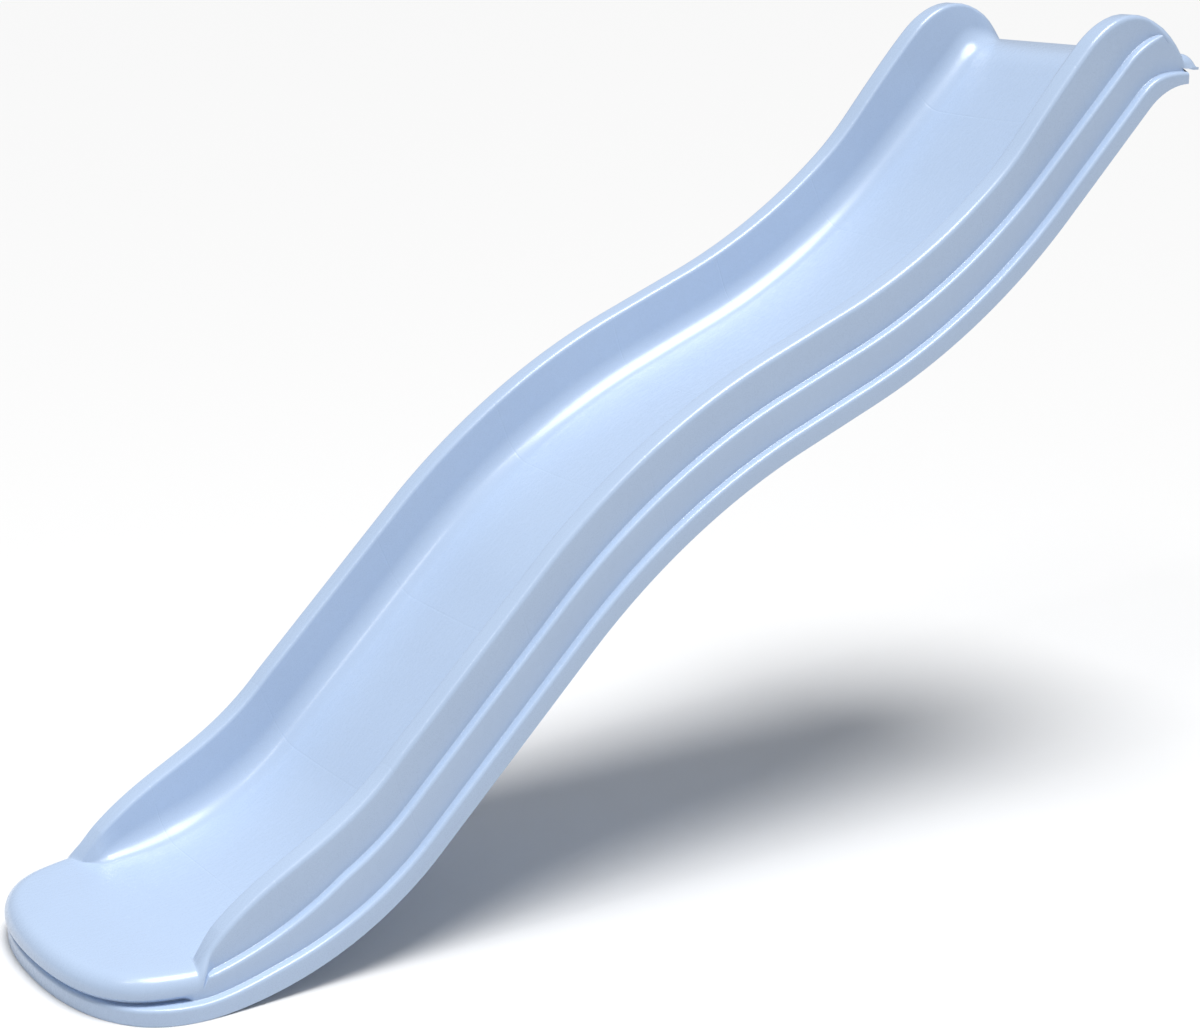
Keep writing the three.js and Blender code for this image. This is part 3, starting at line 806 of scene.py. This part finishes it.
def rounded(corners: Sequence[tuple[float, float]], radius: float, steps: int) -> list[tuple]:
    """A polyline with every corner but its ends rounded.

    Args:
        corners: its points.
        radius: of each corner, less where its neighbours are near.
        steps: spans of each round.

    Returns:
        The points, the same number whatever the sizes.
    """
    points = [np.array(c, dtype=float) for c in corners]
    made = [tuple(points[0])]
    for before, corner, after in zip(points, points[1:], points[2:]):
        back, ahead = before - corner, after - corner
        reach = min(radius, ROUND_REACH * np.linalg.norm(back),
                    ROUND_REACH * np.linalg.norm(ahead))
        start = corner + back * (reach / max(np.linalg.norm(back), 1e-9))
        end = corner + ahead * (reach / max(np.linalg.norm(ahead), 1e-9))
        for t in np.linspace(0.0, 1.0, steps + 1):
            made.append(tuple((1 - t) ** 2 * start + 2 * t * (1 - t) * corner + t * t * end))
    return [*made, tuple(points[-1])]


def lathe(name: str, profile: Sequence[tuple[float, float]], frame: Matrix, sides: int = 64,
          radius: float = 0.5 * MM) -> bpy.types.Object:
    """A ring or pin turned about its frame's Z axis, its corners rounded.

    Args:
        name: its name.
        profile: closed outline as radius and height.
        frame: where its axis stands.
        sides: spans round the axis.
        radius: of the rounded corners.

    Returns:
        The piece.
    """
    shut = profile[0][0] > 0
    corners = [*profile, profile[0], profile[1]] if shut else list(profile)
    line = rounded(corners, radius, ROUND_STEPS)
    line = [*line[1:-1], line[1]] if shut else line
    turns = np.linspace(0.0, 2 * math.pi, sides + 1)
    rows = [[(r * math.cos(a), r * math.sin(a), h) for r, h in line] for a in turns]
    piece = grid_piece(name, np.array(rows))
    piece.data.transform(frame)
    return piece


class RibRing:
    """Geometry Nodes that set round ribs side by side on a circle."""

    def __init__(self, material: bpy.types.Material) -> None:
        """Makes the node tree, its sizes as named inputs."""
        self.tree = bpy.data.node_groups.new("rib_ring", "GeometryNodeTree")
        face = self.tree.interface
        face.new_socket("Geometry", in_out="OUTPUT", socket_type="NodeSocketGeometry")
        for name in ("Ring radius", "Rib radius", "Length", "Height"):
            face.new_socket(name, in_out="INPUT", socket_type="NodeSocketFloat")
        face.new_socket("Count", in_out="INPUT", socket_type="NodeSocketInt")
        inputs = self.tree.nodes.new("NodeGroupInput")
        outputs = self.tree.nodes.new("NodeGroupOutput")
        circle = self._node("GeometryNodeMeshCircle", Vertices=inputs.outputs["Count"],
                            Radius=inputs.outputs["Ring radius"])
        rib = self._node("GeometryNodeMeshCylinder", Vertices=RIB_SIDES,
                         Radius=inputs.outputs["Rib radius"], Depth=inputs.outputs["Length"])
        lift = self._node("ShaderNodeCombineXYZ", Z=inputs.outputs["Height"])
        spread = self._node("GeometryNodeInstanceOnPoints", Points=circle.outputs["Mesh"],
                            Instance=rib.outputs["Mesh"])
        moved = self._node("GeometryNodeTranslateInstances", Instances=spread.outputs[0],
                           Translation=lift.outputs[0])
        real = self._node("GeometryNodeRealizeInstances", Geometry=moved.outputs[0])
        dressed = self._node("GeometryNodeSetMaterial", Geometry=real.outputs[0])
        dressed.inputs["Material"].default_value = material
        self.tree.links.new(dressed.outputs[0], outputs.inputs["Geometry"])

    def _node(self, kind: str, **inputs: object) -> bpy.types.Node:
        """Adds a node and sets or links its sockets."""
        made = self.tree.nodes.new(kind)
        for name, value in inputs.items():
            slot = made.inputs[name]
            if isinstance(value, bpy.types.NodeSocket):
                self.tree.links.new(value, slot)
            else:
                slot.default_value = value
        return made

    def make(self, name: str, frame: Matrix, **sizes: float) -> bpy.types.Object:
        """Makes one ring of ribs as a plain mesh.

        Args:
            name: its name.
            frame: where the ring's axis stands.
            sizes: values of the named inputs, with _ for a blank.

        Returns:
            The piece.
        """
        piece = mesh_piece(name, [(0, 0, 0)], [])
        nodes = piece.modifiers.new("ribs", "NODES")
        nodes.node_group = self.tree
        for item in self.tree.interface.items_tree:
            key = item.name.replace(" ", "_").lower()
            if item.in_out == "INPUT" and key in sizes:
                nodes[item.identifier] = sizes[key]
        apply_modifiers(piece)
        piece.data.transform(frame)
        return piece


# ---- underside ------------------------------------------------------------------------------


@dataclass
class Underside:
    """The closing face under the slide, with its two stiffening channels."""

    moulding: Moulding
    skin: float = 3 * MM
    centre: float = 57 * MM
    mouth: float = 60 * MM
    roof: float = 40 * MM
    depth: float = 36 * MM
    start: float = 24 * MM
    fade: float = 36 * MM
    corner: float = 7 * MM
    corner_steps: int = 5
    spacing: float = 12 * MM
    nose_rows: int = 40
    nose_crowding: float = 0.6

    def __post_init__(self) -> None:
        """Works out how far the face reaches to the sides, the front and the rear."""
        mould = self.moulding
        self.inside = mould.width / 2 - mould.skin - CLEARANCE
        widest = mould.width / 2 - mould.tip_ledge + mould.nose_undercut
        power = widest / mould.nose_length
        self.reach = mould.nose_length * (self.inside / widest) ** power
        self.rear = mould.wave.rear - mould.skin - CLEARANCE

    def half_width(self, y: float) -> float:
        """Half of the width between the shell's walls, which follows the nose's oval in front."""
        mould = self.moulding
        forward = min(max(-y / self.reach, 0.0), 1.0)
        turn = math.asin(forward ** (mould.nose_bluntness / 2))
        return self.inside * max(math.cos(turn), 0.0) ** (2 / mould.nose_squareness)

    def row(self, y: float) -> np.ndarray:
        """One section of the upper face, from the left edge to the right."""
        mould = self.moulding
        front = float(smooth((y + mould.nose_length - self.start) / self.fade))
        rear = float(smooth((mould.wave.rear - self.start - y) / self.fade))
        depth = self.depth * front * rear
        inner, outer = self.centre - self.mouth / 2, self.centre + self.mouth / 2
        low, high = self.centre - self.roof / 2, self.centre + self.roof / 2
        wide = self.half_width(y)
        corners = [(0, 0), (inner, 0), (low, depth), (high, depth), (outer, 0), (wide, 0)]
        if wide < outer + self.corner:
            spans = len(corners) - 1
            corners = [(wide * i / spans, 0.0) for i in range(spans + 1)]
        half = np.array(rounded(corners, self.corner, self.corner_steps))
        x = np.concatenate([-half[::-1, 0], half[1:, 0]])
        h = np.concatenate([half[::-1, 1], half[1:, 1]]) + self.skin
        return mould.place(x, np.full_like(x, y), h)

    def build(self) -> bpy.types.Object:
        """Makes the face with its thickness."""
        turns = np.linspace(math.pi / 2, 0.0, self.nose_rows)
        nose = -self.reach * np.sin(turns) ** self.nose_crowding
        side = np.arange(self.spacing, self.rear, self.spacing)
        rows = [self.row(y) for y in [*nose, *side, self.rear]]
        piece = grid_piece("underside_face", np.array(rows))
        face_up(piece)
        thicken(piece, self.skin)
        return piece


# ---- fittings -------------------------------------------------------------------------------


def axis_frame(first: Vector, second: Vector) -> Matrix:
    """A frame at the first point with its Z axis towards the second."""
    turn = (second - first).to_track_quat("Z", "Y").to_matrix().to_4x4()
    return Matrix.Translation(first) @ turn


def middle_of(node: str) -> Vector:
    """Middle of a node's box."""
    low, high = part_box(node)
    return (Vector(low) + Vector(high)) / 2


@dataclass
class WaterFitting:
    """Spray nozzle on the bed, bush and hose nipple under it."""

    bore: float = 4 * MM
    stem: float = 8 * MM
    flange: float = 15 * MM
    dome: float = 7 * MM
    collar: float = 13 * MM
    nozzle_ribs: int = 24
    collar_ribs: int = 28

    def build(self, paint: Paint, ribs: RibRing) -> list[bpy.types.Object]:
        """Makes and dresses the three visible turned pieces.

        Args:
            paint: the finishes.
            ribs: makes rings of grip ribs.

        Returns:
            The pieces.
        """
        lower, upper = middle_of("inlet_seal"), middle_of("nozzle_seal")
        top, bottom = axis_frame(upper, upper + (upper - lower)), axis_frame(lower, upper)
        seal = 1.3 * MM
        wall = 4.2 * MM
        rise = seal + wall
        stem_low = -(seal + 7.2 * MM)
        nozzle = lathe("nozzle_body", [
            (self.bore, stem_low), (self.stem, stem_low), (self.stem, rise), (self.flange, rise),
            (self.flange, rise + 2.6 * MM), (self.flange - 4 * MM, rise + 4.2 * MM),
            (self.bore + 3 * MM, rise + self.dome - 0.6 * MM),
            (self.bore, rise + self.dome - 1 * MM),
        ], top)
        grips = ribs.make("nozzle_grips", top, ring_radius=self.flange - 0.4 * MM,
                          rib_radius=0.7 * MM, length=2.2 * MM, height=rise + 1.4 * MM,
                          count=self.nozzle_ribs)
        join(nozzle, [grips])
        face = -(seal + 2.9 * MM)
        bush = lathe("bush_body", [
            (self.bore, face - 3 * MM), (self.flange, face - 3 * MM), (self.flange, face),
            (self.stem, face), (self.stem, seal + 7 * MM), (self.bore, seal + 7 * MM),
        ], bottom)
        end = face - 3.3 * MM
        barb = [(9 * MM, end - 11 * MM), (9 * MM, end - 14 * MM), (6.5 * MM, end - 15.5 * MM),
                (6.5 * MM, end - 18 * MM), (8.2 * MM, end - 18 * MM), (8.2 * MM, end - 19.4 * MM),
                (6.6 * MM, end - 19.4 * MM), (6.6 * MM, end - 22.4 * MM),
                (8.2 * MM, end - 22.4 * MM), (8.2 * MM, end - 25 * MM),
                (7 * MM, end - 26.6 * MM), (self.bore, end - 26.6 * MM)]
        nipple = lathe("nipple_body", [(self.bore, end), (self.collar, end),
                                       (self.collar, end - 6.4 * MM), (7 * MM, end - 6.9 * MM),
                                       (7 * MM, end - 10 * MM), *barb][::-1], bottom)
        collar = ribs.make("nipple_grips", bottom, ring_radius=self.collar - 0.5 * MM,
                           rib_radius=0.8 * MM, length=5 * MM, height=end - 3.2 * MM,
                           count=self.collar_ribs)
        join(nipple, [collar])
        made = {"spray_nozzle": nozzle, "inlet_bush": bush, "hose_nipple": nipple}
        for node, piece in made.items():
            finish_piece(piece, paint, Finish.GREY, node)
        return [*made.values()]


@dataclass
class PlatformScrew:
    """Hexagon screw with its washer under the lip."""

    side: str
    shank: float = 2.95 * MM
    head: float = 6 * MM
    head_height: float = 4 * MM
    washer: float = 9 * MM
    washer_height: float = 1.6 * MM
    length: float = 17 * MM
    hole_play: float = 0.35 * MM
    seat_share: float = 0.94
    crown_share: float = 0.84

    def build(self, paint: Paint) -> list[bpy.types.Object]:
        """Makes and dresses the screw and the washer."""
        spot = middle_of(f"platform_washer_{self.side}")
        frame = axis_frame(spot, spot + Vector((0, 1, 0)))
        half = self.washer_height / 2
        washer = lathe(f"washer_{self.side}", [
            (self.shank + self.hole_play, -half), (self.washer, -half), (self.washer, half),
            (self.shank + self.hole_play, half)], frame, radius=0.35 * MM)
        seat = half + CLEARANCE
        top = seat + self.head_height
        screw = lathe(f"screw_{self.side}", [
            (0.0, -self.length), (self.shank - 0.6 * MM, -self.length),
            (self.shank, 1 * MM - self.length), (self.shank, seat),
            (self.head * self.seat_share, seat), (self.head, seat + 0.5 * MM),
            (self.head, top - 0.7 * MM), (self.head * self.crown_share, top),
            (0.0, top)], Matrix(), 48, 0.3 * MM)
        self.cut_hexagon(screw, seat)
        screw.data.transform(frame)
        finish_piece(washer, paint, Finish.ZINC, f"platform_washer_{self.side}")
        finish_piece(screw, paint, Finish.ZINC, f"platform_screw_{self.side}")
        return [washer, screw]

    def cut_hexagon(self, screw: bpy.types.Object, seat: float) -> None:
        """Draws the head's round side in to six flats, which leaves its chamfer round."""
        flat = self.head * math.cos(math.pi / 6)
        for vertex in screw.data.vertices:
            x, y, z = vertex.co
            radius = math.hypot(x, y)
            if z < seat - 1e-6 or radius < self.shank * 1.2:
                continue
            turn = math.atan2(y, x) % (math.pi / 3) - math.pi / 6
            most = min(radius, flat / math.cos(turn))
            vertex.co = (x * most / radius, y * most / radius, z)


@dataclass
class ChannelPlug:
    """Push-in plug of a moulding hole, with a ribbed rim and a dished middle."""

    node: str
    flange: float = 10 * MM
    dish: float = 6 * MM
    body: float = 6 * MM
    thickness: float = 3 * MM
    ribs: int = 20

    def build(self, paint: Paint, ribs: RibRing) -> list[bpy.types.Object]:
        """Makes and dresses the plug."""
        low, high = (Vector(c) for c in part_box(self.node))
        frame = Matrix.Translation(((low.x + high.x) / 2, (low.y + high.y) / 2, low.z))
        tall = high.z - low.z
        piece = lathe(f"{self.node}_body", [
            (0.0, 1.2 * MM), (self.dish - 1.5 * MM, 1.2 * MM), (self.dish, 0.0), (self.flange, 0.0),
            (self.flange, self.thickness), (self.body, self.thickness), (self.body, tall),
            (0.0, tall)], frame, 48)
        grips = ribs.make(f"{self.node}_grips", frame, ring_radius=self.flange - 0.3 * MM,
                          rib_radius=0.6 * MM, length=self.thickness - 0.8 * MM,
                          height=self.thickness / 2, count=self.ribs)
        join(piece, [grips])
        finish_piece(piece, paint, Finish.GREY, self.node)
        return [piece]


def finish_piece(piece: bpy.types.Object, paint: Paint, finish: Finish, node: str) -> None:
    """Shades and dresses a piece, and lets it stand for a node of the body."""
    shade(piece)
    paint.dress(piece, finish)
    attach(piece, BODY)
    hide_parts(node)


# ---- stage ----------------------------------------------------------------------------------


@dataclass
class Studio:
    """Pale floor, soft lights and the camera."""

    azimuth: float = math.radians(55.58)
    elevation: float = math.radians(15.46)
    distance: float = 3.594
    aim_right: float = -0.0258
    aim_up: float = -0.1128
    lens: float = 69.8
    sensor: float = 36.0
    far: float = 60.0
    sky: float = 0.27
    sun_towards: tuple = (0.1, 0.06, 0.99)
    sun_power: float = 3.0
    sun_angle: float = math.radians(32)
    box_size: tuple[float, float] = (0.22, 0.8)
    box_power: float = 7.0
    crest_box: tuple = (0.715, -0.80, 2.8)
    foot_box: tuple = (0.265, -2.11, 2.2)
    floor_reach: float = 30.0
    floor_drop: float = 0.5 * MM
    floor_grey: float = 0.8
    floor_roughness: float = 0.9

    def axes(self) -> tuple[Vector, Vector, Vector]:
        """The camera's right, up and backward directions."""
        back = Vector((math.sin(self.azimuth) * math.cos(self.elevation),
                       -math.cos(self.azimuth) * math.cos(self.elevation),
                       math.sin(self.elevation)))
        right = Vector((math.cos(self.azimuth), math.sin(self.azimuth), 0.0))
        return right, back.cross(right), back

    def camera(self, centre: Vector) -> None:
        """Makes the camera, looking at the object from its distance."""
        right, up, back = self.axes()
        data = bpy.data.cameras.new("camera")
        data.lens = self.lens
        data.sensor_width = self.sensor
        data.clip_end = self.far
        camera = bpy.data.objects.new("camera", data)
        bpy.context.scene.collection.objects.link(camera)
        turn = Matrix((right, up, back)).transposed().to_4x4()
        spot = centre + right * self.aim_right + up * self.aim_up + back * self.distance
        camera.matrix_world = Matrix.Translation(spot) @ turn
        bpy.context.scene.camera = camera

    def soft_box(self, name: str, spot: tuple, target: Vector) -> None:
        """Makes one soft box, hung at a spot measured from its target."""
        data = bpy.data.lights.new(name, "AREA")
        data.shape = "RECTANGLE"
        data.size, data.size_y = self.box_size
        data.energy = self.box_power
        lamp = bpy.data.objects.new(name, data)
        bpy.context.scene.collection.objects.link(lamp)
        offset = Vector(spot)
        lamp.location = target + offset
        lamp.rotation_euler = offset.to_track_quat("Z", "Y").to_euler()

    def sun(self) -> None:
        """Makes the broad even light from above."""
        data = bpy.data.lights.new("sky_light", "SUN")
        data.energy = self.sun_power
        data.angle = self.sun_angle
        lamp = bpy.data.objects.new("sky_light", data)
        bpy.context.scene.collection.objects.link(lamp)
        lamp.rotation_euler = Vector(self.sun_towards).to_track_quat("Z", "Y").to_euler()

    def floor(self) -> None:
        """Makes the pale floor."""
        side, grey = self.floor_reach, self.floor_grey
        corners = [(-side, -side, 0), (side, -side, 0), (side, side, 0), (-side, side, 0)]
        plane = mesh_piece("floor", corners, [(0, 1, 2, 3)])
        plane.location.z = -self.floor_drop
        sheet = ShaderSheet("pale_floor")
        sheet.fix(Base_Color=(grey, grey, grey, 1.0), Roughness=self.floor_roughness)
        plane.data.materials.append(sheet.material)
        plane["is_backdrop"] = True

    def build(self, low: Vector, high: Vector) -> None:
        """Sets up the floor, sky, lights and camera round a box."""
        centre = (low + high) / 2
        self.floor()
        world = bpy.data.worlds.new("studio")
        world.use_nodes = True
        background = world.node_tree.nodes["Background"]
        background.inputs["Color"].default_value = (1.0, 1.0, 1.0, 1.0)
        background.inputs["Strength"].default_value = self.sky
        bpy.context.scene.world = world
        bpy.context.scene.view_settings.view_transform = "Standard"
        self.sun()
        self.soft_box("crest_box", self.crest_box, centre)
        self.soft_box("foot_box", self.foot_box, centre)
        self.camera(centre)


# ---- main -----------------------------------------------------------------------------------


def main() -> None:
    """Builds every piece in order and reports it."""
    logging.basicConfig(level=logging.INFO, format="%(name)s: %(message)s")
    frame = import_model()
    cad_low, cad_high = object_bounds()
    paint = Paint()
    slot_finish = {finish.value[0]: finish for finish in Finish}
    for row in frame["record"]["subparts"]:
        node = frame["nodes"][row["node"]]
        node.data.materials.clear()
        node.data.materials.append(paint.material(slot_finish[row["material_slot"]]))

    moulding = Moulding()
    shell = moulding.build()
    finish_piece(shell, paint, Finish.BLUE, "slide_shell")
    underside = Underside(moulding).build()
    finish_piece(underside, paint, Finish.BLUE, "underside_skin")
    ribs = RibRing(paint.material(Finish.GREY))
    made = [shell, underside, *WaterFitting().build(paint, ribs)]
    for side in ("left", "right"):
        made += PlatformScrew(side).build(paint)
    for node in ("drain_plug", "moulding_plug"):
        made += ChannelPlug(node).build(paint, ribs)
    for piece in made:
        LOG.info("%s: %d faces", piece.name, len(piece.data.polygons))

    Studio().build(cad_low, cad_high)


if __name__ == "__main__":
    main()
